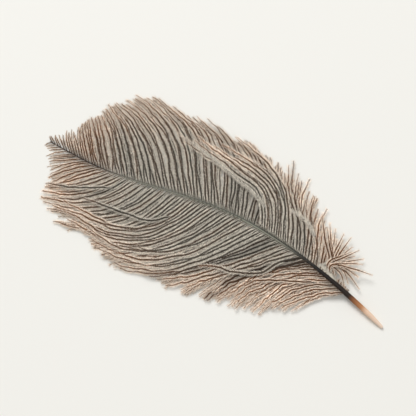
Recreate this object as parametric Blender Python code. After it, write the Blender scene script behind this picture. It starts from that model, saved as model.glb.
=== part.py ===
"""An ostrich feather lying flat with its upper side up, as one grown piece: a horny shaft with a
bare quill, and on each side of it a vane of loose barbs gathered into pointed locks.

The origin is at the middle of the feather's outline, on the surface that it lies on. +X runs from
the quill's end towards the tip and +Y to the feather's left. Lengths are metres, angles degrees.
A share is a place along the shaft, from 0 at the quill's end to 1 at the tip."""

import math
import random

import bmesh
import bpy
import numpy as np

# The shaft, seen from above
LENGTH = 0.198
BOW = 0.0131  # how far the shaft bows to the right
BOW_PEAK = 0.415  # the share where the bow is widest
BOW_END = 0.905  # the share from which the shaft runs straight
ORIGIN = (0.1002, -0.0055)  # the outline's middle, measured from the quill's end

# The shaft's thickness and height: (share, radius)
SHAFT_RADII = (
    (0.0, 0.00070),
    (0.03, 0.00115),
    (0.08, 0.00130),
    (0.13, 0.00130),
    (0.20, 0.00110),
    (0.35, 0.00085),
    (0.55, 0.00060),
    (0.80, 0.00040),
    (1.0, 0.00022),
)
SHAFT_LIFT = 0.0026  # how far the vanes hold the shaft off the surface, where it is highest
LIFT_LEAN = 0.75  # under 1, the shaft is highest nearer the quill than the middle
SHAFT_SIDES = 10
SHAFT_RINGS = 44

# The barbs of each vane: (share where they grow, length, angle off the shaft there, and at the tip)
RIGHT_BARBS = (
    (0.112, 0.016, 40, 172),
    (0.14, 0.022, 46, 160),
    (0.17, 0.0245, 54, 134),
    (0.20, 0.026, 62, 104),
    (0.24, 0.034, 68, 66),
    (0.30, 0.047, 69, 34),
    (0.42, 0.058, 68, 22),
    (0.50, 0.062, 66, 22),
    (0.58, 0.066, 65, 23),
    (0.64, 0.061, 63, 25),
    (0.73, 0.050, 58, 29),
    (0.84, 0.032, 48, 33),
    (0.93, 0.015, 35, 28),
    (1.0, 0.0035, 24, 18),
)
LEFT_BARBS = (
    (0.112, 0.021, 44, 80),
    (0.14, 0.032, 45, 82),
    (0.20, 0.046, 47, 80),
    (0.30, 0.059, 56, 70),
    (0.40, 0.066, 63, 46),
    (0.50, 0.068, 66, 26),
    (0.60, 0.065, 65, 19),
    (0.70, 0.055, 61, 18),
    (0.80, 0.038, 57, 22),
    (0.90, 0.017, 50, 36),
    (1.0, 0.0035, 26, 20),
)
TURN_LATE = 1.25  # over 1, a barb turns more towards its tip than where it grows
BARB_STEPS = 24  # steps in which a barb's course is added up

# The locks that the barbs gather into
LOCKS = 38  # on each side
FIRST_LOCK, LAST_LOCK = 0.112, 0.995  # the shares between which they grow
PARTING = 0.36  # how far out, as a share of its length, a lock parts from its neighbours
JOINED_ROWS = 3  # rows of faces from the shaft to the parting
FREE_ROWS = 7  # and from there to the point
LOCK_UNEVEN = 0.055  # how far a lock's length strays from the rule, as a share
UNEVEN_SEED = 11
LOCK_FILL = 0.86  # a lock's width just past the parting, as a share of its room
LOCK_TAPER = 2.2  # over 1, a lock keeps its width longer before it narrows
GROOVE = 0.42  # the depth of the grooves between locks, as a share of the vane's thickness
EDGE_THICK = 0.0013  # a lock's thickness where it starts to thin out
POINT_THICK = 0.0005
THIN_FROM = 0.7  # the share of a lock's length from which it thins to its point
VANE_FALL = 1.5  # over 1, the vane falls off steeply beside the shaft and flatter outside
SHAFT_SUNK = 0.3  # how deep the vane's top lies under the shaft's middle line, in shaft radii
FAN_LIFT = 0.0052  # how far the curled locks by the quill rise
FAN_END = 0.21  # the share where that curl has died away

COLOUR = (0.245, 0.215, 0.175, 1.0)
ROUGHNESS = 0.85
SHARP_ANGLE = 50


def smooth_step(value):
    """0 below 0, 1 above 1, and an even S between."""
    value = min(max(value, 0.0), 1.0)
    return value * value * (3 - 2 * value)


def smooth_table(rows, share):
    """The columns of a table at a share of the shaft, on a smooth curve through its rows."""
    rows = np.array(rows, float)
    at, values = rows[:, 0], rows[:, 1:]
    slopes = np.gradient(values, at, axis=0)
    share = min(max(share, at[0]), at[-1])
    i = min(int(np.searchsorted(at, share, side="right")) - 1, len(at) - 2)
    step = at[i + 1] - at[i]
    t = (share - at[i]) / step
    start = (1 + 2 * t) * (1 - t) ** 2 * values[i] + t * (1 - t) ** 2 * step * slopes[i]
    end = t * t * (3 - 2 * t) * values[i + 1] - t * t * (1 - t) * step * slopes[i + 1]
    return start + end


def shaft_point(share):
    """The shaft's middle line, seen from above."""
    if share < BOW_PEAK:
        bow = math.sin(math.pi / 2 * share / BOW_PEAK)
    else:
        past = min((share - BOW_PEAK) / (BOW_END - BOW_PEAK), 1)
        bow = 0.5 + 0.5 * math.cos(math.pi * past)
    return np.array([LENGTH * share - ORIGIN[0], -BOW * bow - ORIGIN[1]])


def shaft_heading(share):
    """The angle of the shaft's line towards the tip, in radians from +X."""
    near = 0.001
    ahead = shaft_point(share + near) - shaft_point(share - near)
    return math.atan2(ahead[1], ahead[0])


def shaft_radius(share):
    return float(smooth_table(SHAFT_RADII, share)[0])


def shaft_height(share):
    """The height of the shaft's middle line over the surface."""
    return shaft_radius(share) + SHAFT_LIFT * math.sin(math.pi * share**LIFT_LEAN)


def barb_point(side, share, along):
    """Where a barb is, seen from above, at a share of its own length. side is 1 on the left."""
    length, leaving, ending = smooth_table(LEFT_BARBS if side > 0 else RIGHT_BARBS, share)
    steps = (np.arange(BARB_STEPS) + 0.5) / BARB_STEPS * along
    angles = np.radians(leaving + (ending - leaving) * steps**TURN_LATE)
    heading = shaft_heading(share) + side * angles
    course = np.array([np.cos(heading).mean(), np.sin(heading).mean()])
    return shaft_point(share) + length * along * course


def vane_thickness(share, along):
    """A lock's thickness on its ridge, at a share of its length."""
    crest = shaft_height(share) - SHAFT_SUNK * shaft_radius(share)
    sheet = EDGE_THICK + (crest - EDGE_THICK) * (1 - min(along, 1.0)) ** VANE_FALL
    return sheet + (POINT_THICK - EDGE_THICK) * smooth_step((along - THIN_FROM) / (1 - THIN_FROM))


def underside_height(side, share, along):
    """The underside lies on the surface, but for the right locks that curl up by the quill."""
    if side > 0:
        return 0.0
    return FAN_LIFT * (1 - smooth_step((share - FIRST_LOCK) / (FAN_END - FIRST_LOCK))) * along**2


def vertex(mesh, side, share, along, level, stretch=1.0, edge=None):
    """A vertex at level 1 on a lock's top and 0 on its underside. edge moves it sideways from
    its lock's ridge, by a part of the way to another share's course."""
    place = barb_point(side, share, along * stretch)
    if edge is not None:
        beside, part = edge
        place = place + (barb_point(side, beside, along * stretch) - place) * part
    under = underside_height(side, share, along)
    return mesh.verts.new((*place, under + level * vane_thickness(share, along)))


def edge_shares():
    """The shares of the locks' edges and ridges in turn, so a lock takes every second one."""
    return np.linspace(FIRST_LOCK, LAST_LOCK, 2 * LOCKS + 1)


def top_level(column):
    """Ridges reach the full thickness, and the edges between locks lie in a groove."""
    return 1.0 if column % 2 else 1.0 - GROOVE


def build_spine(mesh):
    """The vertices under the shaft's middle, which both vanes share."""
    spine = {}
    for column, share in enumerate(edge_shares()):
        spine[0, column, 1] = vertex(mesh, 1, share, 0.0, top_level(column))
        if column % 2 == 0:
            spine[0, column, 0] = vertex(mesh, 1, share, 0.0, 0.0)
    return spine


def build_joined_part(mesh, side, spine):
    """A vane's inner part, where its locks are whole. Returns its vertices."""
    grid = dict(spine)
    for row in range(1, JOINED_ROWS + 1):
        along = PARTING * row / JOINED_ROWS
        for column, share in enumerate(edge_shares()):
            grid[row, column, 1] = vertex(mesh, side, share, along, top_level(column))
            if column % 2 == 0:
                grid[row, column, 0] = vertex(mesh, side, share, along, 0.0)
    for row in range(JOINED_ROWS):
        after = row + 1
        for c in range(2 * LOCKS):
            corners = (row, c, 1), (row, c + 1, 1), (after, c + 1, 1), (after, c, 1)
            mesh.faces.new([grid[corner] for corner in corners])
        for c in range(0, 2 * LOCKS, 2):
            corners = (row, c, 0), (after, c, 0), (after, c + 2, 0), (row, c + 2, 0)
            mesh.faces.new([grid[corner] for corner in corners])
        for c in (0, 2 * LOCKS):
            corners = (row, c, 0), (row, c, 1), (after, c, 1), (after, c, 0)
            mesh.faces.new([grid[corner] for corner in corners])
    return grid


def build_free_lock(mesh, side, lock, grid, stretch):
    """One lock from the parting to its point, with a ridge on top and a flat underside."""
    first, ridge, last = edge_shares()[2 * lock : 2 * lock + 3]
    column = 2 * lock
    corners = (column, 1), (column + 1, 1), (column + 2, 1), (column + 2, 0), (column, 0)
    previous = [grid[JOINED_ROWS, *corner] for corner in corners]
    for row in range(1, FREE_ROWS):
        out = row / FREE_ROWS
        along = PARTING + (1 - PARTING) * out
        grown = 1 + (stretch - 1) * out
        width = LOCK_FILL * (1 - out**LOCK_TAPER)
        ring = [
            vertex(mesh, side, ridge, along, 1 - GROOVE, grown, (first, width)),
            vertex(mesh, side, ridge, along, 1.0, grown),
            vertex(mesh, side, ridge, along, 1 - GROOVE, grown, (last, width)),
            vertex(mesh, side, ridge, along, 0.0, grown, (last, width)),
            vertex(mesh, side, ridge, along, 0.0, grown, (first, width)),
        ]
        for k in range(5):
            after = (k + 1) % 5
            mesh.faces.new([previous[k], previous[after], ring[after], ring[k]])
        previous = ring
    top = vertex(mesh, side, ridge, 1.0, 1.0, stretch)
    under = vertex(mesh, side, ridge, 1.0, 0.0, stretch)
    left_top, middle, right_top, right_under, left_under = previous
    mesh.faces.new([left_top, middle, top])
    mesh.faces.new([middle, right_top, top])
    mesh.faces.new([right_top, right_under, under, top])
    mesh.faces.new([right_under, left_under, under])
    mesh.faces.new([left_under, left_top, top, under])


def build_vanes():
    """Both vanes as one closed sheet: whole along the shaft, and parted into locks outside."""
    uneven = random.Random(UNEVEN_SEED)
    mesh = bmesh.new()
    spine = build_spine(mesh)
    for side in (1, -1):
        grid = build_joined_part(mesh, side, spine)
        for lock in range(LOCKS):
            stretch = 1 + uneven.uniform(-LOCK_UNEVEN, LOCK_UNEVEN)
            build_free_lock(mesh, side, lock, grid, stretch)
    bmesh.ops.recalc_face_normals(mesh, faces=mesh.faces)
    return mesh


def build_shaft():
    """The shaft as rings along its line, round at the quill's end and fine at the tip."""
    mesh = bmesh.new()
    rings = []
    for share in np.linspace(0, 1, SHAFT_RINGS + 1):
        middle = shaft_point(share)
        heading = shaft_heading(share)
        across = np.array([-math.sin(heading), math.cos(heading)])
        radius = shaft_radius(share)
        ring = []
        for k in range(SHAFT_SIDES):
            turn = 2 * math.pi * (k + 0.5) / SHAFT_SIDES
            place = middle + across * radius * math.cos(turn)
            height = shaft_height(share) + radius * math.sin(turn)
            ring.append(mesh.verts.new((*place, height)))
        rings.append(ring)
    for near, far in zip(rings, rings[1:]):
        for k in range(SHAFT_SIDES):
            after = (k + 1) % SHAFT_SIDES
            mesh.faces.new([near[k], near[after], far[after], far[k]])
    mesh.faces.new(rings[0])
    mesh.faces.new(rings[-1])
    bmesh.ops.recalc_face_normals(mesh, faces=mesh.faces)
    return mesh


def add_object(name, mesh):
    data = bpy.data.meshes.new(name)
    mesh.to_mesh(data)
    mesh.free()
    data.shade_smooth()
    data.set_sharp_from_angle(angle=math.radians(SHARP_ANGLE))
    obj = bpy.data.objects.new(name, data)
    bpy.context.scene.collection.objects.link(obj)
    return obj


def feather_material():
    material = bpy.data.materials.new("feather")
    material.use_nodes = True
    shader = material.node_tree.nodes["Principled BSDF"]
    shader.inputs["Base Color"].default_value = COLOUR
    shader.inputs["Roughness"].default_value = ROUGHNESS
    shader.inputs["Metallic"].default_value = 0.0
    return material


def main():
    for obj in list(bpy.data.objects):
        bpy.data.objects.remove(obj)
    feather = add_object("feather", build_vanes())
    feather.data.materials.append(feather_material())
    shaft = add_object("shaft_form", build_shaft())
    shaft.hide_render = True
    shaft.display_type = "WIRE"
    fuse = feather.modifiers.new("grown_shaft", "BOOLEAN")
    fuse.operation = "UNION"
    fuse.object = shaft


main()
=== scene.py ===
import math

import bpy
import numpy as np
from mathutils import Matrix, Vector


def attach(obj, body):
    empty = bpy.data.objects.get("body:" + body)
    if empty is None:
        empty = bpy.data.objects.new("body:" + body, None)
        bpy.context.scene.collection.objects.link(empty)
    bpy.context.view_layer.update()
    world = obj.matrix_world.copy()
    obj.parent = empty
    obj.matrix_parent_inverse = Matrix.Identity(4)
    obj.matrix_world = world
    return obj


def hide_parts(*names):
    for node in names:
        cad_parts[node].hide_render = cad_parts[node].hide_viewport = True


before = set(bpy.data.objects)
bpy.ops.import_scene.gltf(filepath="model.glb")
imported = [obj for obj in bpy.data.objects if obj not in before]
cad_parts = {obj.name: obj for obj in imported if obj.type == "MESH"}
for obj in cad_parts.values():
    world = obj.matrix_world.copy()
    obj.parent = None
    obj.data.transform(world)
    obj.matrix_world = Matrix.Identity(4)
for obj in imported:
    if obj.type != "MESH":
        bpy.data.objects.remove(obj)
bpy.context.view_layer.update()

# The looks of an ostrich feather: a horny shaft and about 500 loose barbs, each with its own
# fringe of barbules. Lengths are metres and angles degrees. +X runs to the feather's tip and +Y
# to its left. A share is a place along the shaft, from 0 at the quill's end to 1 at the tip. A
# part is a place along a barb, from 0 where it grows to 1 at its end. Names that end in SHARES or
# PARTS say where something comes and goes, in the way that rise, fall and band take it.

RIGHT, LEFT = -1, 1
UP = np.array([0, 0, 1.0])

# The shaft, as the CAD has it
LENGTH = 0.198
BOW = 0.0131
BOW_PEAK = 0.415
BOW_END = 0.905
ORIGIN = (0.1002, -0.0055)
SHAFT_RADII = (
    (0.0, 0.00070),
    (0.03, 0.00115),
    (0.08, 0.00130),
    (0.13, 0.00130),
    (0.20, 0.00110),
    (0.35, 0.00085),
    (0.55, 0.00060),
    (0.80, 0.00040),
    (1.0, 0.00022),
)
SHAFT_LIFT = 0.0026
LIFT_LEAN = 0.75

# The shaft's mesh
SHAFT_SIDES = 20
SHAFT_RINGS = 260
RING_LEAN = 1.15  # above 1, the rings lie closer near the quill's end
GROOVE_DEPTH = 0.16  # over the radius
GROOVE_WIDTH = 0.42  # radians from the top
GROOVE_SHARES = (0.16, 0.10)

# The barbs: (share where they grow, length, angle off the shaft where they leave it and at the
# tip, and the parts between which that angle turns)
COMB = {
    RIGHT: (
        (0.112, 0.003, 58, 76, 0.0, 1.0),
        (0.16, 0.006, 60, 68, 0.0, 1.0),
        (0.20, 0.018, 64, 58, 0.0, 1.0),
        (0.225, 0.030, 64, 52, 0.0, 0.8),
        (0.25, 0.040, 62, 42, 0.0, 0.8),
        (0.295, 0.047, 62, 33, 0.0, 0.8),
        (0.34, 0.050, 64, 22, 0.1, 0.9),
        (0.38, 0.051, 72, 20, 0.2, 1.1),
        (0.43, 0.0535, 72, 16, 0.2, 1.1),
        (0.48, 0.058, 69, 12, 0.25, 1.1),
        (0.53, 0.065, 63, 9, 0.28, 1.15),
        (0.575, 0.0695, 62, 9, 0.24, 1.15),
        (0.62, 0.0635, 61, 13, 0.22, 1.15),
        (0.67, 0.057, 58, 22, 0.2, 1.05),
        (0.73, 0.049, 59, 37, 0.2, 1.0),
        (0.79, 0.038, 56, 48, 0.2, 1.0),
        (0.84, 0.030, 50, 54, 0.2, 1.0),
        (0.93, 0.0125, 40, 50, 0.2, 1.0),
        (1.0, 0.004, 24, 26, 0.0, 1.0),
    ),
    LEFT: (
        (0.112, 0.028, 40, 84, 0.0, 1.0),
        (0.14, 0.039, 37, 84, 0.0, 1.0),
        (0.20, 0.048, 36, 82, 0.0, 1.0),
        (0.24, 0.053, 50, 75, 0.2, 1.0),
        (0.27, 0.056, 55, 68, 0.4, 1.0),
        (0.30, 0.061, 56, 46, 0.5, 1.05),
        (0.33, 0.069, 56, 28, 0.5, 1.05),
        (0.37, 0.078, 58, 18, 0.35, 1.0),
        (0.41, 0.083, 60, 8, 0.22, 0.95),
        (0.46, 0.082, 60, 6, 0.15, 0.9),
        (0.52, 0.077, 60, 6, 0.1, 0.8),
        (0.60, 0.069, 60, 6, 0.1, 0.9),
        (0.68, 0.060, 56, 8, 0.1, 0.9),
        (0.74, 0.051, 52, 14, 0.1, 0.9),
        (0.79, 0.039, 46, 22, 0.1, 0.9),
        (0.83, 0.029, 38, 52, 0.1, 1.0),
        (0.88, 0.021, 34, 56, 0.1, 1.0),
        (0.93, 0.012, 30, 50, 0.1, 1.0),
        (1.0, 0.004, 20, 30, 0.0, 1.0),
    ),
}
# Between two shares on each side, the upper barbs sweep forward over those nearer the tip
SWEPT = {
    RIGHT: (
        (0.295, 0.061, 58, -4, 0.16, 1.05),
        (0.31, 0.066, 59, -7, 0.17, 0.95),
        (0.33, 0.068, 62, 0, 0.12, 0.78),
        (0.35, 0.069, 62, 3, 0.08, 0.62),
        (0.38, 0.070, 62, 4, 0.05, 0.46),
    ),
    LEFT: (
        (0.43, 0.083, 60, 0, 0.18, 0.90),
        (0.48, 0.083, 60, -8, 0.14, 1.05),
        (0.54, 0.080, 60, -9, 0.08, 0.95),
        (0.585, 0.076, 62, -8, 0.04, 0.70),
    ),
}
# The left vane's under layer, and its upper barbs where the swept ones cover them
LEFT_UNDER = (
    (0.112, 0.026, 44, 80, 0.0, 1.0),
    (0.14, 0.037, 45, 82, 0.0, 1.0),
    (0.20, 0.046, 47, 80, 0.0, 1.0),
    (0.30, 0.058, 56, 64, 0.0, 1.0),
    (0.40, 0.066, 63, 42, 0.0, 1.0),
    (0.50, 0.066, 66, 26, 0.0, 1.0),
    (0.60, 0.057, 65, 19, 0.0, 1.0),
    (0.70, 0.051, 61, 18, 0.0, 1.0),
    (0.80, 0.035, 50, 30, 0.0, 1.0),
    (0.90, 0.017, 36, 46, 0.0, 1.0),
    (1.0, 0.0035, 26, 20, 0.0, 1.0),
)
FIRST_BARB, LAST_BARB, LAST_UNDER = 0.112, 0.995, 0.93  # shares
UPPER_COUNT = {RIGHT: 96, LEFT: 66}
UNDER_COUNT = 112
SWEPT_COUNT = {RIGHT: 12, LEFT: 14}
# Between two shares on each side, more barbs lie in the under layer: (first, last, how many)
DENSE_UNDER = {RIGHT: (0.225, 0.350, 30), LEFT: (0.130, 0.360, 40)}
BARB_STEPS = 48
ALONG = np.linspace(0, 1, BARB_STEPS + 1)  # the parts at which a course is given

# How barbs differ at random from the tables, tuft by tuft and one by one. Near the quill on the
# right and near the tip they are loose single hairs, and differ more.
PITCH_JITTER = 0.14  # of their places, over the space between two
MEAN_LENGTH, UPPER_LONGER = 0.98, 0.02  # over the table's, as are the next three
TUFT_LENGTH, OWN_LENGTH, LOOSE_LENGTH = 0.018, 0.022, 0.06
LEAVE_TURN = 1.2  # of the angle where they leave the shaft; the others are of that at the tip
TUFT_TURN = {RIGHT: 0.8, LEFT: 2.4}
OWN_TURN, LOOSE_TURN = 3.0, 6.0
LOOSE_QUILL_SHARES, LOOSE_TIP_SHARES = (0.30, 0.04), (0.84, 0.06)

# Waves in the barbs' courses: (how many along a barb, their swing, and how far they are shifted
# from barb to barb), then those of each barb's own: (how many, swing, part where they start)
SHARED_WAVES = ((1.6, 3.0, 3.1), (3.7, 4.0, 5.3))
OWN_WAVES = ((3.1, 3.4, 0.0), (6.3, 4.2, 0.0), (10.0, 8.0, 0.5))
WAVES_GROW = 0.3  # the part over which these grow
# On the left near the quill, they are larger by this
WILD, WILD_SHARES = {RIGHT: 0.0, LEFT: 0.9}, (0.33, 0.08)
# On the right near the quill, barbs turn up at their ends, away from the shaft
UPRIGHT, UPRIGHT_PARTS = {RIGHT: 22, LEFT: 0}, (0.55, 0.4)
UPPER_UPRIGHT_SHARES, UNDER_UPRIGHT_SHARES = (0.32, 0.05), (0.365, 0.05)

# Neighbouring barbs cling together in tufts, by their ends and more so near the quill. On the
# right they also do in the middle of their length, and part again. 0 is free and 1 is in one line.
TUFT_SIZES = {RIGHT: (1, 2, 2, 2, 3), LEFT: (2, 3, 4)}
END_CLING, END_CLING_PARTS = {RIGHT: 0.08, LEFT: 0.26}, (0.5, 0.5)
QUILL_CLING, QUILL_CLING_SHARES = {RIGHT: 0.0, LEFT: 0.14}, (0.46, 0.12)
PAIR_CLING, PAIR_SHARES = {RIGHT: 0.54, LEFT: 0.0}, (0.38, 0.04, 0.80, 0.10)
PAIR_PARTS, PARTING, PARTING_PARTS = (0.05, 0.2), 0.85, (0.5, 0.35)
# Where more barbs bunch closely together: (share in the middle, half the width)
BUNCHES = {RIGHT: ((0.405, 0.012),), LEFT: ((0.247, 0.021), (0.332, 0.015))}
BUNCH_CLING, BUNCH_PARTS = 0.38, (0.12, 0.4)
BUNCH_THICK, BUNCH_SHADE = 1.5, 0.64

# Heights of the barbs over the surface, at the shaft and at their ends
UPPER_LEVELS, UNDER_LEVELS = (0.0023, 0.0013), (0.0012, 0.0006)
ROOT_UP = 0.5  # where a barb leaves the shaft, over the shaft's radius
ORDER_LIFT = 0.0022  # how much higher barbs lie at the quill than at the tip
DOWN_PART = 0.25  # the part by which a barb has come down
CURL, CURL_PARTS = 0.0006, (0.7, 0.3)  # at random, up or down
SWEPT_LIFT = 0.0006  # how much higher the swept barbs lie
LOWEST = 0.00025

# Barbs that stray over the others, through these places (x, y) from the quill's end
STRAYS = {
    RIGHT: (
        (
            (0.0735, -0.0189), (0.0771, -0.0223), (0.0813, -0.0260), (0.0890, -0.0290),
            (0.0981, -0.0312), (0.1103, -0.0341), (0.1234, -0.0363), (0.1409, -0.0390),
        ),
        (
            (0.0480, -0.0218), (0.0506, -0.0244), (0.0553, -0.0283), (0.0616, -0.0303),
            (0.0690, -0.0309), (0.0739, -0.0330), (0.0798, -0.0374),
        ),
    ),
    LEFT: (
        (
            (0.0538, -0.0080), (0.0590, -0.0021), (0.0610, 0.0021), (0.0640, 0.0070),
            (0.0710, 0.0112), (0.0767, 0.0138), (0.0826, 0.0150), (0.0886, 0.0171),
            (0.0921, 0.0196),
        ),
        (
            (0.0373, -0.0035), (0.0452, 0.0010), (0.0525, 0.0046), (0.0590, 0.0082),
            (0.0643, 0.0117), (0.0678, 0.0168),
        ),
        (
            (0.1168, 0.0018), (0.1232, 0.0095), (0.1277, 0.0126), (0.1348, 0.0139),
            (0.1434, 0.0156), (0.1509, 0.0167), (0.1627, 0.0186),
        ),
        (
            (0.1527, 0.0058), (0.1576, 0.0090), (0.1659, 0.0140), (0.1740, 0.0180),
            (0.1810, 0.0204), (0.1845, 0.0218),
        ),
    ),
}
STRAY_WAVE, STRAY_WAVES = 0.00014, 34  # how wide, and how many radians along a barb
STRAY_START = 6  # radians, up to about a turn: where these waves start
STRAY_LEVEL, STRAY_DROP, STRAY_JITTER = 0.0038, 0.0011, 0.0002  # height, less at the end
STRAY_RISE, STRAY_RISE_PART = 0.0020, 0.16  # how much lower they start, and up to which part

# The plume at the base: barbs that run up along the shaft to a hub, then fan out backwards.
# Their tips are (x, y) from the quill's end, in the order in which they grow from tip to quill.
HUB = (0.0362, -0.0148)
PLUME_TIPS = (
    (0.0518, -0.0357),
    (0.0469, -0.0345),
    (0.0423, -0.0330),
    (0.0382, -0.0335),
    (0.0344, -0.0333),
    (0.0304, -0.0299),
    (0.0267, -0.0291),
    (0.0226, -0.0266),
    (0.0219, -0.0227),
    (0.0155, -0.0199),
    (0.0208, -0.0149),
    (0.0179, -0.0100),
    (0.0249, -0.0076),
)
PLUME_ROOTS = (0.215, 0.145)  # the shares between which they grow
PLUME_DROOP = 0.0026  # how far the last of them bend before they run to their tips
BETWEEN_LENGTH = 0.8  # the length of a barb between two of these, past the hub
ROOT_JITTER, TIP_JITTER, HUB_JITTER = 0.002, 0.0006, 0.0007
PLUME_LEVEL, PLUME_LEVEL_JITTER, PLUME_LEVEL_PART = 0.0040, 0.0005, 0.5  # reached by this part
PLUME_DROP, PLUME_DROP_PARTS = 0.0012, (0.6, 0.4)  # how far their ends come down

# A barb's own shaft
CORE_WIDE = 0.00028  # its radius where it grows
CORE_FINE = 0.00006  # and at its tip
CORE_TAPER = 0.5  # how early it gets thin
CORE_FLAT = 0.7  # its height over its width
SHORT_CORE, LONG_BARB = 0.6, 0.05  # how thick the shortest are, and the length of full ones
# Thicker shafts near the quill on the left, bolder in some tufts, and near the tip
QUILL_THICKER, BOLD_THICKER, BOLD_DARKER, QUILL_SHARES = 0.9, 0.6, 0.12, (0.31, 0.06)
TIP_THICKER, TIP_THICK_SHARES = 0.55, (0.78, 0.1)

# The barbules on a barb
BARBULE = 0.0023  # their full length
BARBULE_STEP = 0.00019  # from one to the next on one side
BARBULE_WIDE = 0.00016  # across the foot
SPARSE_WIDER = 0.7  # the power of the density by which those of sparse layers are wider
FRINGE_START, FRINGE_RUN = 0.006, 0.99  # the parts of a barb that have them
LEAVE_ANGLE, SWEEP_ANGLE = 50, 28  # off the barb, in a barbule's inner and outer half
SPREAD, END_SPREAD, END_SPREAD_PARTS = 7, 16, (0.8, 0.2)  # how much those angles differ
SWEEP_SPREAD = 1.4  # how much more so in the outer half
ROLL = 24  # how far they turn about their own line, at random
INNER_RISE, OUTER_RISE = 0.08, 0.16  # how far each half rises or sinks at random, over its length
INNER_DROOP, OUTER_DROOP = 0.10, 0.14  # and how far it droops
MIDDLE_LOWEST, TIP_LOWEST = 0.00012, 0.00006
NARROWER, NARROWER_PARTS = 0.4, (0.6, 0.4)  # near the barb's end
# Their lengths over the full one grow from this at the barb's start to 1 at this length along it,
# and get less at its end, near the quill, and near the tip, there more so at the barbs' ends
ROOT_SIZE, FULL_SIZE_AT = 0.3, 0.006
END_SHORTER, END_SHORTER_PARTS = 0.2, (0.7, 0.3)
QUILL_SIZE, QUILL_SIZE_SHARES = 0.75, (0.14, 0.12)
TIP_SHORTER, TIP_END_SHORTER, TIP_SIZE_SHARES = 0.2, 0.5, (0.82, 0.1)
SIZE_JITTER, LEAST_SIZE = 0.15, 0.0002
# A barbule is a blade with two corners at its foot, two in its middle and one at its point:
# their tones, their places across it in the map, and how wide the middle is over the foot
BLADE_TONES = (0.0, 0.0, 0.5, 0.5, 1.0)
BLADE_ACROSS = (-0.5, 0.5, -0.4, 0.4, 0.0)
BLADE_MIDDLE = 0.8

# Brown: in a barb's middle, at its end, and in whole barbs near the feather's base
MIDDLE_BROWN, MIDDLE_PART = 0.18, 0.5
END_BROWN, END_PART = 0.66, 0.95
BASE_BROWN, BASE_BROWN_SHARES = 0.8, (0.29, 0.12)
TIP_BROWN_SHARES = (0.73, 0.17)
# Fluffy roots: where they end, and how much paler, less brown and finer they are
FLUFF_PARTS = (0.12, 0.15)
FLUFF_PALE, FLUFF_COOL, FLUFF_FINE = 0.37, 1.5, 0.5
CORE_LATE, BARBULE_LATE = 0.7, 0.5  # the parts from which shafts and barbules get paler
# Plain grey roots: their length, and the shares that have them
ROOT_LENGTH, ROOT_SHARES = 0.0028, (0.2, 0.1, 0.7, 0.12)
# Dark: beside the shaft's black parts, up to a length, and in all barbs near the tip
BLACK_REACH = 0.008
QUILL_BLACK_SHARES = (0.27, 0.12)
TIP_BLACK, TIP_BLACK_SHARES = 0.8, (0.76, 0.12)
TIP_DARKER, TIP_DARK_SHARES = 0.1, (0.76, 0.1)
# Uneven: (depth, length over 2 pi) along a barb, then from barb to barb and barbule to barbule
MOTTLES = ((0.08, 0.0009), (0.07, 0.00037))
SHADE_JITTER, BROWN_JITTER, BARBULE_JITTER = 0.08, 0.12, 0.15
# Brighter or darker by side
UPPER_SHADE = {RIGHT: 0.96, LEFT: 1.14}
SWEPT_SHADE = {RIGHT: 1.2, LEFT: 1.0}
UNDER_PALER, UNDER_PALER_SHARES = {RIGHT: 0.12, LEFT: 0.0}, (0.37, 0.05)

# What differs from set to set, where it isn't as in class Barbs
STYLES = {
    "right_barbs": {"fade": 0.18, "brown_tip": 0.85, "dusk": 0.4},
    "left_barbs": {"fade": 0.1, "brown_tip": 1.0},
    "right_under_barbs": {
        "density": 0.62, "thick": 0.8, "pale": 0.14, "fade": -0.1, "brown_tip": 0.8,
    },
    "left_under_barbs": {
        "density": 0.62, "thick": 0.55, "pale": 0.1, "fade": 0.12, "brown_tip": 0.8,
    },
    "right_strays": {
        "thick": 0.5, "pale": 0.42, "fade": 0.0, "brown_all": -0.2, "brown_from": 0.7,
    },
    "left_strays": {"thick": 1.3, "fade": 0.0, "brown_all": -0.2, "brown_from": 0.7},
    "base_plume": {
        "density": 0.8, "thick": 1.8, "fringe": 0.9, "fade": 0.28, "fluffy": 1.0,
        "brown_all": 0.3, "dusk": 0.0,
    },
}

# Colours, as display values from 0 to 255
COOL = (
    (64, 59, 51),
    (83, 77, 68),
    (140, 132, 119),
    (226, 219, 206),
    (192, 185, 171),
    (234, 228, 216),
)
WARM = (
    (84, 54, 32),
    (126, 84, 54),
    (206, 162, 124),
    (255, 245, 231),
    (224, 200, 177),
    (255, 250, 242),
)
RAMP_AT = (0.0, 0.22, 0.30, 0.42, 0.66, 1.0)
ROOT_GREY, ROOT_MIX = (128, 127, 114), 0.6
SHAFT_STOPS = (
    (0.0, (240, 216, 196)),
    (0.052, (230, 196, 168)),
    (0.068, (180, 124, 82)),
    (0.092, (136, 86, 52)),
    (0.106, (38, 27, 21)),
    (0.20, (26, 22, 20)),
    (0.29, (52, 50, 44)),
    (0.40, (76, 78, 69)),
    (0.64, (78, 77, 68)),
    (0.76, (74, 66, 56)),
    (0.86, (50, 38, 30)),
    (1.0, (38, 27, 20)),
)
# The shaft's paler flanks, partly the pale grey of the barb bases along it and partly a painted
# highlight on the rod's left side, weaker on its right: their colour, how strong it is, and where
# along the shaft. Around it, they are given by the cosine of the turn from its left.
SHAFT_PALE_AND_HIGHLIGHT, PALE_AND_HIGHLIGHT_MIX, PALE_AND_HIGHLIGHT_SHARES = (156, 156, 141), 0.75, (0.24, 0.1, 0.74, 0.12)
LEFT_PALE_AND_HIGHLIGHT, RIGHT_PALE_AND_HIGHLIGHT, RIGHT_PALE_AND_HIGHLIGHT_MIX = (0.0, 0.4), (-0.5, 0.3), 0.4
FLOOR, FLOOR_HALF = (235, 234, 229), 8.0  # its colour, and half its side

# The photograph's view: a 60 mm lens looking down on the feather
LENS = 60.0
CAMERA_ELEVATION = 68.0
CAMERA_DISTANCE = 0.3607
AIM = (0.0047, -0.0051)  # where the picture's middle meets the surface
FEATHER_TURN = 149.13  # the tip's direction, from the picture's right

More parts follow.
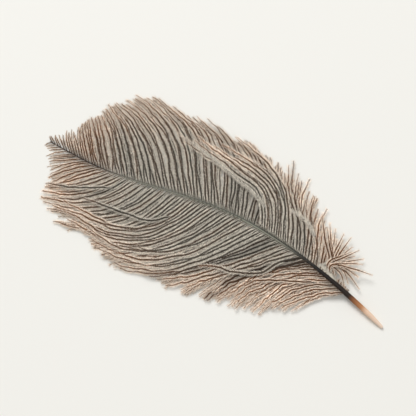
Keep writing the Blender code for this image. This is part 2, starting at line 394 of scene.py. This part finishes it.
# The lights: (away from the camera, to its right, up), the side of the square, and the power
KEY = ((1.8, -0.75, 2.2), 1.45, 63.0)
FILL = ((-1.2, 0.8, 1.6), 1.6, 8.5)
SKY, SKY_STRENGTH = (1.0, 0.99, 0.97, 1.0), 0.45


def smooth_step(value):
    """0 below 0, 1 above 1, and an even S between."""
    value = np.clip(value, 0.0, 1.0)
    return value * value * (3 - 2 * value)


def rise(value, start, run):
    """0 up to start, 1 from start + run on, and an even S between."""
    return smooth_step((value - start) / run)


def fall(value, end, run):
    """1 up to end - run, 0 from end on, and an even S between."""
    return smooth_step((end - value) / run)


def band(value, start, run, end, end_run):
    """Rises from start on, and falls again from end on."""
    return rise(value, start, run) * (1 - rise(value, end, end_run))


def smooth_table(rows, share):
    """The columns of a table at shares of the shaft, on a smooth curve through its rows."""
    rows = np.array(rows, float)
    at, values = rows[:, 0], rows[:, 1:]
    slopes = np.gradient(values, at, axis=0)
    share = np.clip(share, at[0], at[-1])
    i = np.clip(np.searchsorted(at, share, side="right") - 1, 0, len(at) - 2)
    step = (at[i + 1] - at[i])[..., None]
    t = (share - at[i])[..., None] / step
    start = (1 + 2 * t) * (1 - t) ** 2 * values[i] + t * (1 - t) ** 2 * step * slopes[i]
    end = t * t * (3 - 2 * t) * values[i + 1] - t * t * (1 - t) * step * slopes[i + 1]
    return start + end


def curve_through(places):
    """A smooth, evenly divided curve through places."""
    places = np.array(places)
    run = np.concatenate([[0], np.linalg.norm(np.diff(places, axis=0), axis=1).cumsum()])
    at = np.linspace(0, run[-1], BARB_STEPS + 1)
    return smooth_table(np.column_stack([run, places]), at)


def shaft_point(share):
    """The shaft's middle line, seen from above."""
    rising = np.sin(math.pi / 2 * share / BOW_PEAK)
    past = np.clip((share - BOW_PEAK) / (BOW_END - BOW_PEAK), 0, 1)
    bow = np.where(share < BOW_PEAK, rising, 0.5 + 0.5 * np.cos(math.pi * past))
    return np.stack([LENGTH * share - ORIGIN[0], -BOW * bow - ORIGIN[1]], -1)


def shaft_heading(share):
    """The direction of the shaft's middle line, in radians."""
    near = 0.001
    ahead = shaft_point(share + near) - shaft_point(share - near)
    return np.arctan2(ahead[..., 1], ahead[..., 0])


def shaft_radius(share):
    return smooth_table(SHAFT_RADII, share)[..., 0]


def shaft_height(share):
    """The height of the shaft's middle line."""
    return shaft_radius(share) + SHAFT_LIFT * np.sin(math.pi * np.clip(share, 0, 1) ** LIFT_LEAN)


class Fibres:
    """The vertices, faces and values of one piece, gathered before its mesh is made."""

    def __init__(self):
        self.places, self.values, self.maps = [], [], []
        self.faces = {3: [], 4: []}
        self.count = 0

    def add(self, places, values, maps, faces):
        """places (n, 3), values (n, 4), maps (n, 2), faces {corners: (m, corners)}"""
        self.places.append(places)
        self.values.append(values)
        self.maps.append(maps)
        for corners, rows in faces.items():
            self.faces[corners].append(rows + self.count)
        self.count += len(places)


# What each vertex carries: its place on the colour ramp, how brown it is (on the shaft, how far
# its pale flank with its painted highlight shows), how much of a grey root it has, and how bright
# it is
VALUES = ("tone", "warm", "root", "shade")


def make_piece(name, fibres, material):
    """One mesh object of the gathered fibres, with their values as attributes."""
    places = np.concatenate(fibres.places)
    values = np.concatenate(fibres.values)
    maps = np.concatenate(fibres.maps)
    kinds = [np.concatenate(rows) for rows in fibres.faces.values() if rows]
    corners = np.concatenate([rows.ravel() for rows in kinds])
    totals = np.concatenate([np.full(len(rows), rows.shape[1]) for rows in kinds])
    starts = np.concatenate([[0], np.cumsum(totals)[:-1]])
    mesh = bpy.data.meshes.new(name)
    mesh.vertices.add(len(places))
    mesh.vertices.foreach_set("co", places.astype(np.float32).ravel())
    mesh.loops.add(len(corners))
    mesh.loops.foreach_set("vertex_index", corners.astype(np.int32))
    mesh.polygons.add(len(totals))
    mesh.polygons.foreach_set("loop_start", starts.astype(np.int32))
    mesh.update(calc_edges=True)
    for column, key in enumerate(VALUES):
        layer = mesh.attributes.new(key, "FLOAT", "POINT")
        layer.data.foreach_set("value", values[:, column].astype(np.float32))
    layer = mesh.uv_layers.new(name="OFBake")
    layer.data.foreach_set("uv", maps[corners].astype(np.float32).ravel())
    mesh.validate()
    mesh.materials.append(material)
    mesh.shade_smooth()
    piece = bpy.data.objects.new(name, mesh)
    bpy.context.scene.collection.objects.link(piece)
    return piece


def tube_faces(rings, sides):
    """The faces between rings of vertices, each ring closed."""
    i = np.arange(rings - 1)[:, None] * sides
    k = np.arange(sides)[None]
    after = (k + 1) % sides
    return np.stack([i + k, i + after, i + sides + after, i + sides + k], -1).reshape(-1, 4)


class Barbs:
    """A set of barbs: their courses in space and their looks."""

    density = 1.0  # barbules to a length, against the densest
    thick = 1.0  # the thickness of their own shafts
    fringe = 1.0  # the length of their barbules
    pale = 0.0  # how far the dark along a barb is missing
    fade = 0.16  # and how much more of it at their ends
    fluffy = 0.0  # how far they are pale and fine where they grow
    brown_all = 0.0  # how brown they are besides
    brown_tip = 0.5  # how much browner they are near the feather's tip
    brown_from = 0.42  # the part from which they turn brown
    dusk = 0.62  # how dark they are beside the black parts of the shaft

    def __init__(self, name, share, courses, rng):
        for key, value in STYLES[name].items():
            setattr(self, key, value)
        self.name = name
        self.share = share
        self.points = courses
        self.count = len(share)
        self.rng = rng
        steps = np.linalg.norm(np.diff(courses, axis=1), axis=2)
        self.length = steps.sum(1)
        self.shade = 1 + SHADE_JITTER * rng.normal(0, 1, self.count)
        self.core = self.thick * np.ones(self.count)
        self.brown = self.brown_all + BROWN_JITTER * rng.normal(0, 1, self.count)
        self.phase = rng.uniform(0, 2 * math.pi, (len(MOTTLES), self.count))

    def places_at(self, barb, along):
        """Points and directions on one barb."""
        points = self.points[barb]
        at = np.clip(along, 0, 1) * BARB_STEPS
        i = np.minimum(at.astype(int), BARB_STEPS - 1)
        part = (at - i)[:, None]
        ways = np.gradient(points, axis=0)
        ways = ways / np.linalg.norm(ways, axis=1, keepdims=True)
        place = points[i] * (1 - part) + points[i + 1] * part
        way = ways[i] * (1 - part) + ways[i + 1] * part
        return place, way / np.linalg.norm(way, axis=1, keepdims=True)

    def warmth(self, barb, along):
        """Brown ends, and more brown towards the tip and the base of the feather."""
        share = self.share[barb]
        ends = MIDDLE_BROWN * smooth_step(along / MIDDLE_PART)
        ends = ends + END_BROWN * rise(along, self.brown_from, END_PART - self.brown_from)
        tip = self.brown_tip * rise(share, *TIP_BROWN_SHARES)
        base = BASE_BROWN * fall(share, *BASE_BROWN_SHARES)
        cool = FLUFF_COOL * self.fluff(along)
        return np.clip(ends + tip + base + self.brown[barb] - cool, 0, 1)

    def fluff(self, along):
        """How far a barb is pale and fine where it grows."""
        return self.fluffy * (1 - rise(along, *FLUFF_PARTS))

    def paleness(self, along, late):
        """How far the dark is missing along a barb, more so from one part on."""
        return FLUFF_PALE * self.fluff(along) + self.fade * rise(along, late, 1 - late)

    def root(self, barb, along):
        """How near the shaft a place is, where a barb is plain and grey."""
        grey = band(self.share[barb], *ROOT_SHARES)
        return grey * smooth_step(1 - along * self.length[barb] / ROOT_LENGTH)

    def shade_at(self, barb, along):
        """Mottled, and darker beside the black parts of the shaft and near the tip."""
        share = self.share[barb]
        black = fall(share, *QUILL_BLACK_SHARES) + TIP_BLACK * rise(share, *TIP_BLACK_SHARES)
        run = along * self.length[barb]
        near = smooth_step(1 - run / BLACK_REACH)
        mottled = 1
        for (depth, pitch), phase in zip(MOTTLES, self.phase):
            mottled = mottled + depth * np.sin(run / pitch + phase[barb])
        tip = 1 - TIP_DARKER * rise(share, *TIP_DARK_SHARES)
        return self.shade[barb] * tip * mottled * (1 - self.dusk * black * near)


def comb_shares(side, under, rng):
    """Where the barbs of a layer grow, and which of them sweep over the others."""
    count = UNDER_COUNT if under else UPPER_COUNT[side]
    last = LAST_UNDER if under else LAST_BARB
    pitch = (last - FIRST_BARB) / count
    shift = 0.0 if under else 0.5
    share = FIRST_BARB + pitch * (np.arange(count) + shift + rng.normal(0, PITCH_JITTER, count))
    share = np.clip(share, FIRST_BARB, last)
    if under:
        share = np.sort(np.concatenate([share, np.linspace(*DENSE_UNDER[side])]))
        return share, np.zeros(len(share), bool)
    first, last = SWEPT[side][0][0], SWEPT[side][-1][0]
    if side == RIGHT:
        share = share[(share < first) | (share > last)]
    places = (np.arange(SWEPT_COUNT[side]) + 0.5) / SWEPT_COUNT[side]
    swept = np.repeat([False, True], [len(share), len(places)])
    return np.concatenate([share, first + (last - first) * places]), swept


def comb_rows(side, under, share, swept):
    """The barbs' rows of the tables, on smooth curves through these."""
    rows = smooth_table(LEFT_UNDER if under and side == LEFT else COMB[side], share)
    if side == LEFT:
        hidden = (share > SWEPT[side][0][0]) & (share < SWEPT[side][-1][0])
        rows[hidden] = smooth_table(LEFT_UNDER, share[hidden])
    rows[swept] = smooth_table(SWEPT[side], share[swept])
    return rows


def tufts(side, count, rng):
    """The number of each barb's tuft. Tufts are pairs on the right, and larger on the left."""
    sizes = rng.choice(TUFT_SIZES[side], count)
    return np.repeat(np.arange(count), sizes)[:count]


def run_courses(side, share, rows, rng, upright_shares):
    """Courses seen from above: each turns evenly from its first to its last angle, and waves.
    On the right near the quill their ends stand up again, away from the shaft."""
    length, leaving, ending, early, late = rows.T[..., None]
    t = (np.arange(BARB_STEPS) + 0.5) / BARB_STEPS
    angle = leaving + (ending - leaving) * rise(t, early, late - early)
    upright = UPRIGHT[side] * fall(share, *upright_shares)[:, None]
    angle = angle + upright * rise(t, *UPRIGHT_PARTS)
    for waves, swing, drift in SHARED_WAVES:
        angle = angle + swing * t * np.sin(2 * math.pi * (waves * t + drift * share[:, None]))
    wild = 1 + WILD[side] * fall(share, *WILD_SHARES)[:, None]
    for waves, swing, start in OWN_WAVES:
        own = rng.uniform(0, 2 * math.pi, (len(share), 1))
        grown = rise(t, start, WAVES_GROW)
        angle = angle + wild * swing * np.sin(2 * math.pi * waves * t + own) * grown
    heading = shaft_heading(share)[:, None] + side * np.radians(angle)
    steps = np.stack([np.cos(heading), np.sin(heading)], -1)
    steps = steps * (length / BARB_STEPS)[..., None]
    start = np.zeros((len(share), 1, 2))
    return shaft_point(share)[:, None] + np.concatenate([start, steps.cumsum(1)], 1)


def draw_together(flat, members, pull):
    """Draw some barbs towards their shared course."""
    flat[members] += pull * (flat[members].mean(0) - flat[members])


def draw_tufts(side, share, flat, tuft):
    """Draw the barbs of each tuft together."""
    along = ALONG[:, None]
    ends = rise(along, *END_CLING_PARTS)
    middle = rise(along, *PAIR_PARTS) * (1 - PARTING * rise(along, *PARTING_PARTS))
    cling = END_CLING[side] + QUILL_CLING[side] * fall(share, *QUILL_CLING_SHARES)
    paired = PAIR_CLING[side] * band(share, *PAIR_SHARES)
    for k in range(tuft.max() + 1):
        members = tuft == k
        pull = cling[members][:, None, None] * ends + paired[members][:, None, None] * middle
        draw_together(flat, members, pull)


def draw_bunches(side, share, flat):
    """Draw the barbs of each bunch together, and tell which they are."""
    bunched = np.zeros(len(share), bool)
    for centre, half in BUNCHES[side]:
        members = np.abs(share - centre) < half
        draw_together(flat, members, BUNCH_CLING * rise(ALONG[:, None], *BUNCH_PARTS))
        bunched |= members
    return bunched


def lie_down(share, level, low, curl):
    """Heights: a barb leaves the top of the shaft's side and comes down to lie on the barbs
    beneath it. Barbs nearer the quill lie over those nearer the tip."""
    along = ALONG[None]
    start = (shaft_height(share) + ROOT_UP * shaft_radius(share))[:, None]
    order = ORDER_LIFT * (0.5 - share)[:, None]
    rest = level + order + (low - level) * along
    height = start + (rest - start) * smooth_step(along / DOWN_PART)
    height = height + rise(along, *CURL_PARTS) * curl[:, None]
    return np.maximum(height, LOWEST)


def comb_barbs(name, side, seed, under=False):
    """The even comb of barbs along one side of the shaft, in one of its two layers."""
    rng = np.random.default_rng(seed)
    share, swept = comb_shares(side, under, rng)
    rows = comb_rows(side, under, share, swept)
    count = len(share)
    tuft = tufts(side, count, rng)
    tuft_length, tuft_bold, tuft_turn = rng.normal(0, 1, (3, count))[:, tuft]
    # The third of these is drawn only to keep the order of the draws
    own_length, own_leave, _, own_turn, own_curl = rng.normal(0, 1, (5, count))
    loose = fall(share, *LOOSE_QUILL_SHARES) * (side == RIGHT) + rise(share, *LOOSE_TIP_SHARES)
    differs = (OWN_LENGTH + LOOSE_LENGTH * loose) * own_length
    longer = 0 if under else UPPER_LONGER
    rows[:, 0] *= MEAN_LENGTH + TUFT_LENGTH * tuft_length + differs + longer
    rows[:, 1] += LEAVE_TURN * own_leave
    rows[:, 2] += TUFT_TURN[side] * tuft_turn + (OWN_TURN + LOOSE_TURN * loose) * own_turn
    upright_shares = UNDER_UPRIGHT_SHARES if under else UPPER_UPRIGHT_SHARES
    flat = run_courses(side, share, rows, rng, upright_shares)
    draw_tufts(side, share, flat, tuft)
    if not under:
        bunched = draw_bunches(side, share, flat)
    levels = UNDER_LEVELS if under else UPPER_LEVELS
    height = lie_down(share, *levels, CURL * own_curl) + SWEPT_LIFT * swept[:, None]
    barbs = Barbs(name, share, np.concatenate([flat, height[..., None]], -1), rng)
    if under:
        barbs.shade *= 1 + UNDER_PALER[side] * fall(share, *UNDER_PALER_SHARES)
        return barbs
    near_quill = fall(share, *QUILL_SHARES) * (side == LEFT)
    bold = near_quill * np.clip(tuft_bold, -1, 1)
    barbs.core *= 1 + QUILL_THICKER * near_quill + BOLD_THICKER * bold
    barbs.core *= 1 + TIP_THICKER * rise(share, *TIP_THICK_SHARES)
    barbs.core[bunched] *= BUNCH_THICK
    barbs.shade *= 1 - BOLD_DARKER * bold
    barbs.shade *= UPPER_SHADE[side]
    barbs.shade[swept] *= SWEPT_SHADE[side]
    barbs.shade[bunched] *= BUNCH_SHADE
    return barbs


def stray_barbs(name, side, seed):
    """Barbs that cross over the comb."""
    rng = np.random.default_rng(seed)
    flat = []
    for places in STRAYS[side]:
        course = curve_through(places) - ORIGIN
        ways = np.gradient(course, axis=0)
        beside = np.stack([-ways[:, 1], ways[:, 0]], -1) / np.linalg.norm(ways, axis=1)[:, None]
        wave = STRAY_WAVE * np.sin(ALONG * STRAY_WAVES + rng.uniform(0, STRAY_START))
        flat.append(course + beside * wave[:, None])
    flat = np.array(flat)
    share = (flat[:, 0, 0] + ORIGIN[0]) / LENGTH
    along = ALONG[None]
    height = STRAY_LEVEL - STRAY_DROP * along
    height = height - STRAY_RISE * smooth_step(1 - along / STRAY_RISE_PART)
    height = height + STRAY_JITTER * rng.normal(0, 1, (len(flat), 1))
    return Barbs(name, share, np.concatenate([flat, height[..., None]], -1), rng)


def plume_barbs(name, seed):
    """The fan of barbs by the quill, on the right: one to each tip, and one between each two."""
    rng = np.random.default_rng(seed)
    tips = np.array(PLUME_TIPS)
    last = len(tips) - 1
    at = np.arange(2 * last + 1) / 2
    tips = np.stack([np.interp(at, np.arange(last + 1), tips[:, k]) for k in (0, 1)], -1)
    share = np.interp(at, (0, last), PLUME_ROOTS) + ROOT_JITTER * rng.normal(0, 1, len(at))
    tips = tips - ORIGIN + TIP_JITTER * rng.normal(0, 1, tips.shape)
    hub = np.array(HUB) - ORIGIN + HUB_JITTER * rng.normal(0, 1, tips.shape)
    between = (at % 1 > 0)[:, None]
    tips = np.where(between, hub + (tips - hub) * BETWEEN_LENGTH, tips)
    droop = smooth_step(at / (last + 1) * 2 - 1)[:, None] * [0, PLUME_DROOP]
    middle = hub + 0.5 * (tips - hub) - droop
    flat = np.array([curve_through(row) for row in zip(shaft_point(share), hub, middle, tips)])
    along = ALONG[None]
    start = shaft_height(share)[:, None]
    level = PLUME_LEVEL + PLUME_LEVEL_JITTER * rng.normal(0, 1, (len(at), 1))
    height = start + (level - start) * smooth_step(along / PLUME_LEVEL_PART)
    height = height - PLUME_DROP * rise(along, *PLUME_DROP_PARTS)
    return Barbs(name, share, np.concatenate([flat, height[..., None]], -1), rng)


CORE_LEVELS = (0.0, 0.05, 0.10)  # in a barb's row of the map, its own shaft's three sides
FRINGE_LEVEL = 0.14  # and where its barbules start


def map_place(along, level, row, rows):
    """A place in the piece's map: each barb has a row, with its own shaft below its barbules."""
    edge, margin = 0.01, 0.12
    up = (row + margin + (1 - 2 * margin) * level) / rows
    return np.stack(np.broadcast_arrays(edge + (1 - 2 * edge) * along, up), -1)


def add_core(fibres, barbs, barb):
    """A barb's own shaft, as a fine three-sided rod with a pointed end."""
    along = ALONG
    place, way = barbs.places_at(barb, along)
    beside = np.cross(UP, way)
    beside /= np.linalg.norm(beside, axis=1, keepdims=True)
    above = np.cross(way, beside)
    longness = min(1.0, barbs.length[barb] / LONG_BARB)
    wide = CORE_WIDE * (barbs.core[barb] * (SHORT_CORE + (1 - SHORT_CORE) * longness))
    radius = (CORE_FINE + (wide - CORE_FINE) * (1 - along) ** CORE_TAPER)[:, None]
    radius *= 1 - FLUFF_FINE * barbs.fluff(along)[:, None]
    ring = []
    for turn in (90, 210, 330):
        x, y = math.cos(math.radians(turn)), math.sin(math.radians(turn))
        ring.append(place + radius * (x * beside + CORE_FLAT * y * above))
    places = np.stack(ring, 1).reshape(-1, 3)
    n = len(along)
    values = np.zeros((n, 3, 4))
    values[..., 0] = np.maximum(barbs.paleness(along, CORE_LATE), 0)[:, None]
    values[..., 1] = barbs.warmth(barb, along)[:, None]
    values[..., 2] = barbs.root(barb, along)[:, None]
    values[..., 3] = barbs.shade_at(barb, along)[:, None]
    maps = np.stack([map_place(along, level, barb, barbs.count) for level in CORE_LEVELS], 1)
    ends = np.array([[0, 2, 1], [3 * n - 3, 3 * n - 2, 3 * n - 1]])
    faces = {4: tube_faces(n, 3), 3: ends}
    fibres.add(places, values.reshape(-1, 4), maps.reshape(-1, 2), faces)


def barbule_sizes(barbs, barb, along):
    """Lengths of barbules: short where the barb grows, and near the feather's quill and tip."""
    share = barbs.share[barb]
    run = along * barbs.length[barb]
    from_root = smooth_step(run / FULL_SIZE_AT * (1 - ROOT_SIZE) + ROOT_SIZE)
    grown = from_root * (1 - END_SHORTER * rise(along, *END_SHORTER_PARTS))
    near_ends = QUILL_SIZE + (1 - QUILL_SIZE) * rise(share, *QUILL_SIZE_SHARES)
    shorter = TIP_SHORTER + TIP_END_SHORTER * along
    near_ends = near_ends - shorter * rise(share, *TIP_SIZE_SHARES)
    jitter = 1 + SIZE_JITTER * barbs.rng.normal(0, 1, len(along))
    return np.maximum(BARBULE * barbs.fringe * near_ends * grown * jitter, LEAST_SIZE)


def add_barbules(fibres, barbs, barb):
    """The fringe on both sides of one barb, as fine blades that lie forward and end in points."""
    rng = barbs.rng
    length = barbs.length[barb]
    count = int(length / BARBULE_STEP * barbs.density)
    wide = BARBULE_WIDE / barbs.density**SPARSE_WIDER
    for side in (LEFT, RIGHT):
        along = (np.arange(count) + rng.uniform(0, 1, count)) / count * FRINGE_RUN + FRINGE_START
        place, way = barbs.places_at(barb, along)
        beside = np.cross(UP, way)
        beside = side * beside / np.linalg.norm(beside, axis=1, keepdims=True)
        size = barbule_sizes(barbs, barb, along)[:, None]
        # Its two halves, inner and outer
        spread = rng.normal(0, 1, count) * (SPREAD + END_SPREAD * rise(along, *END_SPREAD_PARTS))
        inner = np.radians(LEAVE_ANGLE + spread)[:, None]
        outer = np.radians(SWEEP_ANGLE + spread * SWEEP_SPREAD)[:, None]
        inner_way = np.cos(inner) * way + np.sin(inner) * beside
        outer_way = np.cos(outer) * way + np.sin(outer) * beside
        lift = rng.normal(0, 1, (2, count, 1)) * UP
        middle = place + 0.5 * size * (inner_way + INNER_RISE * lift[0] - INNER_DROOP * UP)
        tip = middle + 0.5 * size * (outer_way + OUTER_RISE * lift[1] - OUTER_DROOP * UP)
        middle[:, 2] = np.maximum(middle[:, 2], MIDDLE_LOWEST)
        tip[:, 2] = np.maximum(tip[:, 2], TIP_LOWEST)
        # Its width
        roll = np.radians(rng.normal(0, ROLL, count)[:, None])
        flat = np.cross(UP, inner_way)
        flat /= np.linalg.norm(flat, axis=1, keepdims=True)
        edge = np.cos(roll) * flat + np.sin(roll) * UP
        half = 0.5 * wide * (1 - NARROWER * rise(along, *NARROWER_PARTS))[:, None] * edge
        slim = BLADE_MIDDLE * half
        places = np.stack([place - half, place + half, middle - slim, middle + slim, tip], 1)
        first = np.arange(count)[:, None] * len(BLADE_TONES)
        faces = {4: first + np.array([[0, 1, 3, 2]]), 3: first + np.array([[2, 3, 4]])}
        # What its corners carry
        tone = np.array(BLADE_TONES)[None] + np.zeros((count, 1))
        pale = (barbs.pale + barbs.paleness(along, BARBULE_LATE))[:, None]
        uneven = 1 + BARBULE_JITTER * rng.normal(0, 1, count)
        values = np.zeros((count, len(BLADE_TONES), 4))
        values[..., 0] = pale + (1 - pale) * tone
        values[..., 1] = barbs.warmth(barb, along)[:, None]
        values[..., 2] = barbs.root(barb, along)[:, None]
        values[..., 3] = (barbs.shade_at(barb, along) * uneven)[:, None]
        across = np.array(BLADE_ACROSS)[None] * wide / length
        level = FRINGE_LEVEL + (1 - FRINGE_LEVEL) * tone
        maps = map_place(along[:, None] + across, level, barb, barbs.count)
        fibres.add(places.reshape(-1, 3), values.reshape(-1, 4), maps.reshape(-1, 2), faces)


def build_barbs(material):
    """All the barbs, each set as one piece."""
    sets = (
        comb_barbs("right_barbs", RIGHT, seed=31),
        comb_barbs("left_barbs", LEFT, seed=22),
        comb_barbs("right_under_barbs", RIGHT, seed=23, under=True),
        comb_barbs("left_under_barbs", LEFT, seed=24, under=True),
        stray_barbs("right_strays", RIGHT, seed=25),
        stray_barbs("left_strays", LEFT, seed=26),
        plume_barbs("base_plume", seed=27),
    )
    pieces = []
    for barbs in sets:
        fibres = Fibres()
        for barb in range(barbs.count):
            add_core(fibres, barbs, barb)
            add_barbules(fibres, barbs, barb)
        pieces.append(make_piece(barbs.name, fibres, material))
    return pieces


def build_shaft(material):
    """The shaft as one lofted horn rod, with a shallow groove along the top of its outer part."""
    share = np.linspace(0, 1, SHAFT_RINGS + 1) ** RING_LEAN
    heading = shaft_heading(share)
    turn = 2 * math.pi * np.arange(SHAFT_SIDES) / SHAFT_SIDES
    from_top = np.abs((turn - math.pi / 2 + math.pi) % (2 * math.pi) - math.pi)
    groove = GROOVE_DEPTH * np.exp(-((from_top / GROOVE_WIDTH) ** 2))[None]
    groove = groove * rise(share, *GROOVE_SHARES)[:, None]
    radius = shaft_radius(share)[:, None] * (1 - groove)
    across = np.stack([-np.sin(heading), np.cos(heading)], -1)[:, None]
    flat = shaft_point(share)[:, None] + across * (radius * np.cos(turn))[..., None]
    height = shaft_height(share)[:, None] + radius * np.sin(turn)
    places = np.concatenate([flat, height[..., None]], -1)
    rings, sides = places.shape[:2]
    ends = np.stack([places[0].mean(0), places[-1].mean(0)])
    last = rings * sides
    k = np.arange(sides)
    after = (k + 1) % sides
    first_cap = np.stack([np.full(sides, last), after, k], -1)
    last_cap = np.stack([np.full(sides, last + 1), last - sides + k, last - sides + after], -1)
    # The paler flanks, partly a painted highlight on the rod's left side and a weaker one on its
    # right, ride in the 'warm' value
    left = rise(np.cos(turn), *LEFT_PALE_AND_HIGHLIGHT)
    right = RIGHT_PALE_AND_HIGHLIGHT_MIX * fall(np.cos(turn), *RIGHT_PALE_AND_HIGHLIGHT)
    values = np.zeros((rings, sides, 4))
    values[..., 0] = share[:, None]
    values[..., 1] = (left + right)[None] * band(share, *PALE_AND_HIGHLIGHT_SHARES)[:, None]
    end_values = np.array([[0.0, 0, 0, 0], [1.0, 0, 0, 0]])
    edge, full_turn = 0.02, 6.3
    around = edge + (1 - 2 * edge) * turn / full_turn  # in the map
    maps = np.stack(np.broadcast_arrays(share[:, None], around[None]), -1)
    fibres = Fibres()
    fibres.add(
        np.concatenate([places.reshape(-1, 3), ends]),
        np.concatenate([values.reshape(-1, 4), end_values]),
        np.concatenate([maps.reshape(-1, 2), [[0, 0.5], [1, 0.5]]]),
        {4: tube_faces(rings, sides), 3: np.concatenate([first_cap, last_cap])},
    )
    return make_piece("shaft", fibres, material)


def display_colour(colour):
    """A colour from display values to the linear ones that shaders take."""
    c = np.array(colour) / 255
    linear = np.where(c <= 0.04045, c / 12.92, ((c + 0.055) / 1.055) ** 2.4)
    return (*(float(x) for x in linear), 1.0)


class Nodes:
    """A short way to build a material's nodes."""

    def __init__(self, name, roughness, specular):
        self.material = bpy.data.materials.new(name)
        self.material.use_nodes = True
        self.tree = self.material.node_tree
        self.shader = self.tree.nodes["Principled BSDF"]
        self.shader.inputs["Roughness"].default_value = roughness
        self.shader.inputs["Specular IOR Level"].default_value = specular

    def add(self, kind, **settings):
        node = self.tree.nodes.new(kind)
        for key, value in settings.items():
            setattr(node, key, value)
        return node

    def give(self, given, socket):
        """Link another node's output to a socket, or set it to a value."""
        if isinstance(given, bpy.types.NodeSocket):
            self.tree.links.new(given, socket)
        else:
            socket.default_value = given

    def value(self, name):
        return self.add("ShaderNodeAttribute", attribute_name=name).outputs["Fac"]

    def ramp(self, factor, stops):
        node = self.add("ShaderNodeValToRGB")
        ramp = node.color_ramp
        while len(ramp.elements) < len(stops):
            ramp.elements.new(1.0)
        for element, (at, colour) in zip(ramp.elements, stops):
            element.position = at
            element.color = display_colour(colour)
        self.give(factor, node.inputs["Fac"])
        return node.outputs["Color"]

    def mix(self, factor, a, b, blend="MIX"):
        node = self.add("ShaderNodeMix", data_type="RGBA", blend_type=blend)
        sockets = {socket.name: socket for socket in node.inputs if socket.enabled}
        for name, given in (("Factor", factor), ("A", a), ("B", b)):
            self.give(given, sockets[name])
        return [socket for socket in node.outputs if socket.enabled][0]

    def maths(self, operation, a, b):
        node = self.add("ShaderNodeMath", operation=operation)
        for socket, given in zip(node.inputs, (a, b)):
            self.give(given, socket)
        return node.outputs["Value"]


def down_material():
    """Barbs and barbules: dark along the barb and pale at the barbules' ends, brown outside."""
    nodes = Nodes("down", roughness=0.7, specular=0.25)
    tone = nodes.value("tone")
    cool = nodes.ramp(tone, list(zip(RAMP_AT, COOL)))
    warm = nodes.ramp(tone, list(zip(RAMP_AT, WARM)))
    colour = nodes.mix(nodes.value("warm"), cool, warm)
    root = nodes.maths("MULTIPLY", nodes.value("root"), ROOT_MIX)
    colour = nodes.mix(root, colour, display_colour(ROOT_GREY))
    shade = nodes.value("shade")
    grey = nodes.add("ShaderNodeCombineColor")
    for channel in ("Red", "Green", "Blue"):
        nodes.give(shade, grey.inputs[channel])
    colour = nodes.mix(1.0, colour, grey.outputs["Color"], "MULTIPLY")
    nodes.give(colour, nodes.shader.inputs["Base Color"])
    return nodes.material


def horn_material():
    """The shaft: peach at the quill's end, then amber, near black, slate, and brown at the tip."""
    nodes = Nodes("horn", roughness=0.5, specular=0.3)
    colour = nodes.ramp(nodes.value("tone"), SHAFT_STOPS)
    # Mix in the paler flanks: partly the grey of the barb bases, partly a painted highlight
    side = nodes.mix(PALE_AND_HIGHLIGHT_MIX, colour, display_colour(SHAFT_PALE_AND_HIGHLIGHT))
    colour = nodes.mix(nodes.value("warm"), colour, side)
    nodes.give(colour, nodes.shader.inputs["Base Color"])
    return nodes.material


def add_camera():
    """The camera, and the directions to its right and away from it along the surface."""
    turn = math.radians(-FEATHER_TURN)
    right = Vector((math.cos(turn), math.sin(turn), 0))
    away = Vector((-right.y, right.x, 0))
    elevation = math.radians(CAMERA_ELEVATION)
    back = -away * math.cos(elevation) + Vector((0, 0, 1)) * math.sin(elevation)
    up = back.cross(right)
    camera = bpy.data.objects.new("camera", bpy.data.cameras.new("camera"))
    place = Vector((*AIM, 0)) + back * CAMERA_DISTANCE
    axes = Matrix((right, up, back)).transposed()
    camera.matrix_world = Matrix.Translation(place) @ axes.to_4x4()
    camera.data.lens = LENS
    camera.data.clip_start = 0.01
    bpy.context.scene.collection.objects.link(camera)
    bpy.context.scene.camera = camera
    return right, away


def add_light(name, place, size, power):
    """A square light that shines on the feather's middle."""
    data = bpy.data.lights.new(name, "AREA")
    data.shape = "SQUARE"
    data.size = size
    data.energy = power
    light = bpy.data.objects.new(name, data)
    light.location = place
    light.rotation_euler = (-place).to_track_quat("-Z", "Y").to_euler()
    bpy.context.scene.collection.objects.link(light)


def add_floor():
    mesh = bpy.data.meshes.new("floor")
    far = FLOOR_HALF
    corners = [(-far, -far, 0), (far, -far, 0), (far, far, 0), (-far, far, 0)]
    mesh.from_pydata(corners, [], [(0, 1, 2, 3)])
    floor = bpy.data.objects.new("floor", mesh)
    nodes = Nodes("floor", roughness=0.9, specular=0.1)
    nodes.give(display_colour(FLOOR), nodes.shader.inputs["Base Color"])
    mesh.materials.append(nodes.material)
    bpy.context.scene.collection.objects.link(floor)


def add_studio(right, away):
    """A large soft key from the far left, a weak fill, and a bright sky."""
    for name, (way, size, power) in (("key", KEY), ("fill", FILL)):
        place = away * way[0] + right * way[1] + Vector((0, 0, 1)) * way[2]
        add_light(name, place, size, power)
    world = bpy.data.worlds.new("studio")
    world.use_nodes = True
    background = world.node_tree.nodes["Background"]
    background.inputs["Color"].default_value = SKY
    background.inputs["Strength"].default_value = SKY_STRENGTH
    bpy.context.scene.world = world
    bpy.context.scene.view_settings.view_transform = "Standard"


right, away = add_camera()
add_floor()
add_studio(right, away)
shaft = build_shaft(horn_material())
barb_pieces = build_barbs(down_material())
for piece in [shaft, *barb_pieces]:
    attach(piece, "root")
    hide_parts("feather")
